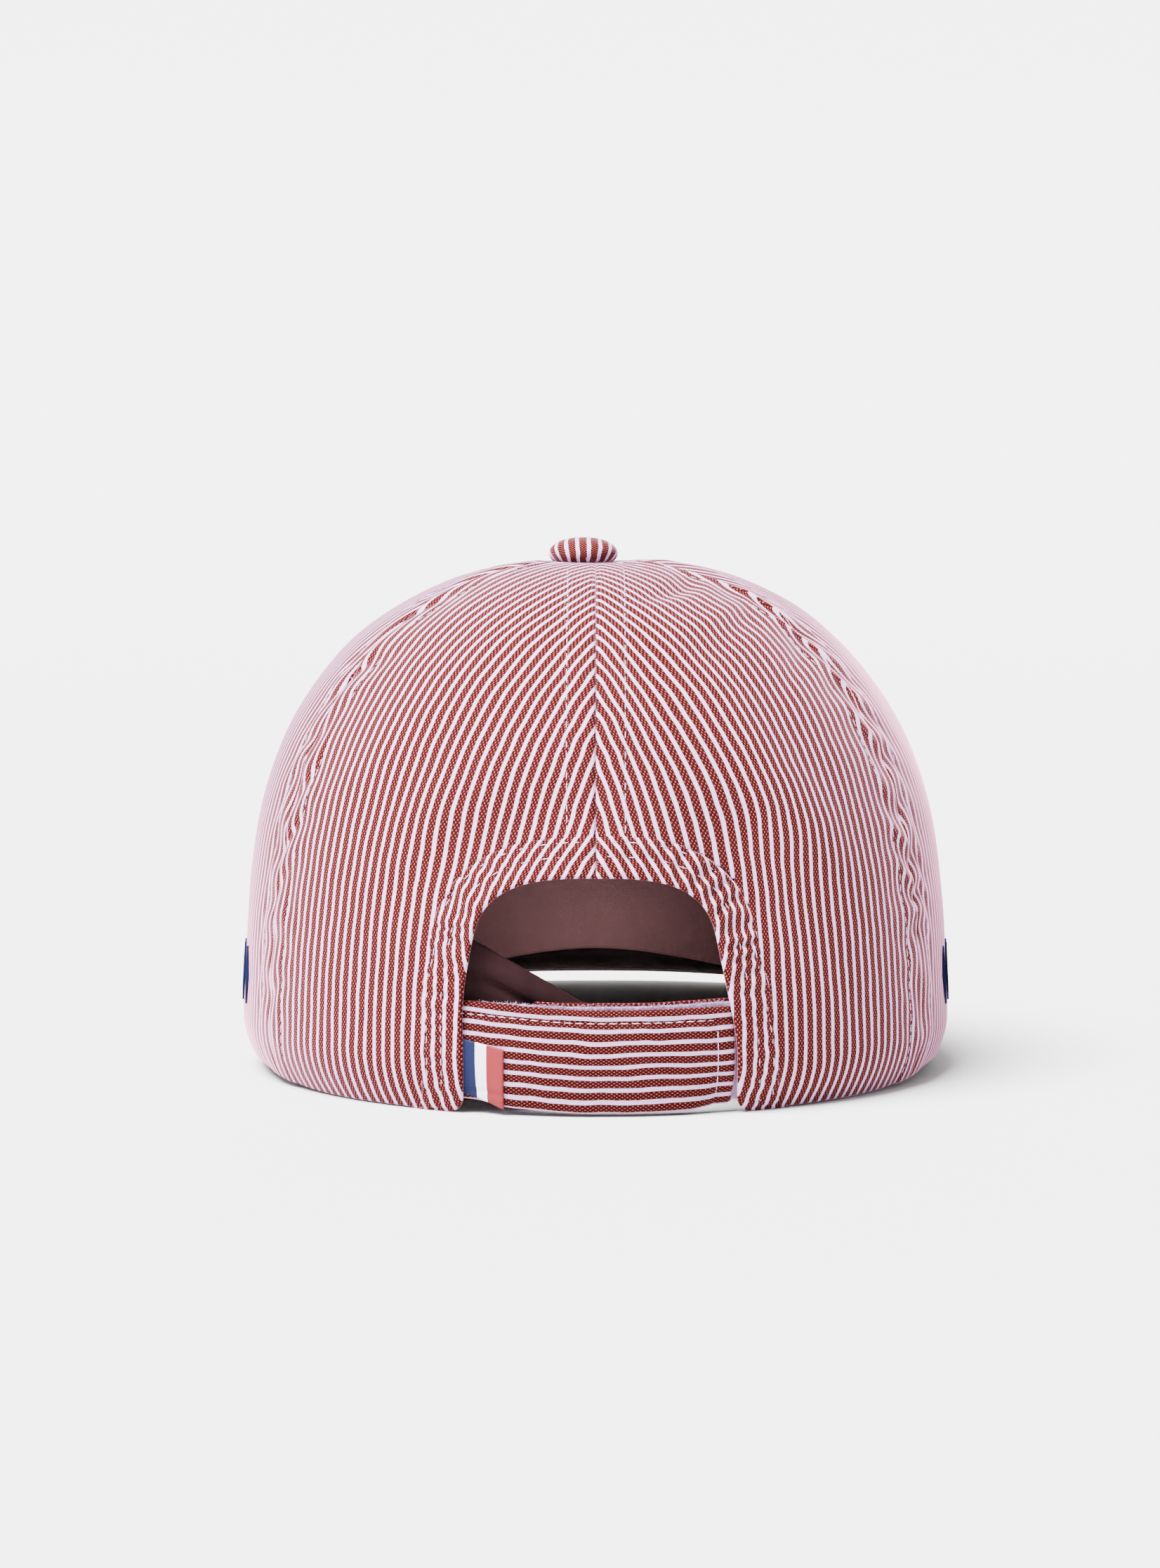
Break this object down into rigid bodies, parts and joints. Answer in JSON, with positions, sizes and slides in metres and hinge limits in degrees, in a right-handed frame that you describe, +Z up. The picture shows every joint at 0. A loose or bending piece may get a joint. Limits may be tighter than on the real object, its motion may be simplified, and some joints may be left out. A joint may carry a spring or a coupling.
{
  "type": "cap",
  "caption": "Soft panelled cap in fine striped cloth, with a curved peak, a covered top button, an inner sweatband and a hook-and-loop strap across an arched back opening.",
  "frame": {"origin": "on the surface the cap rests on, under the middle of its outline", "axes": "+Z up, +Y towards the front edge of the peak, +X to the wearer's right"},
  "size_m": [0.1682, 0.264, 0.1256],
  "materials": {
    "striped_cloth": "woven cotton stripe, red and white",
    "band_cloth": "plain cotton twill, dusty mauve",
    "loop_pile": "brushed nylon loop pile, pale lilac",
    "woven_tab": "woven ribbon in blue, white and coral",
    "sewing_thread": "polyester sewing thread"
  },
  "bodies": {
    "root": {"panel_back_left": "striped_cloth", "panel_back_right": "striped_cloth", "panel_side_left": "striped_cloth", "panel_side_right": "striped_cloth", "panel_front_left": "striped_cloth", "panel_front_right": "striped_cloth", "top_button": "striped_cloth", "peak": "striped_cloth", "sweatband": "band_cloth", "strap_outer": "striped_cloth", "strap_inner": "loop_pile", "woven_tag": "woven_tab"}
  },
  "joints": []
}
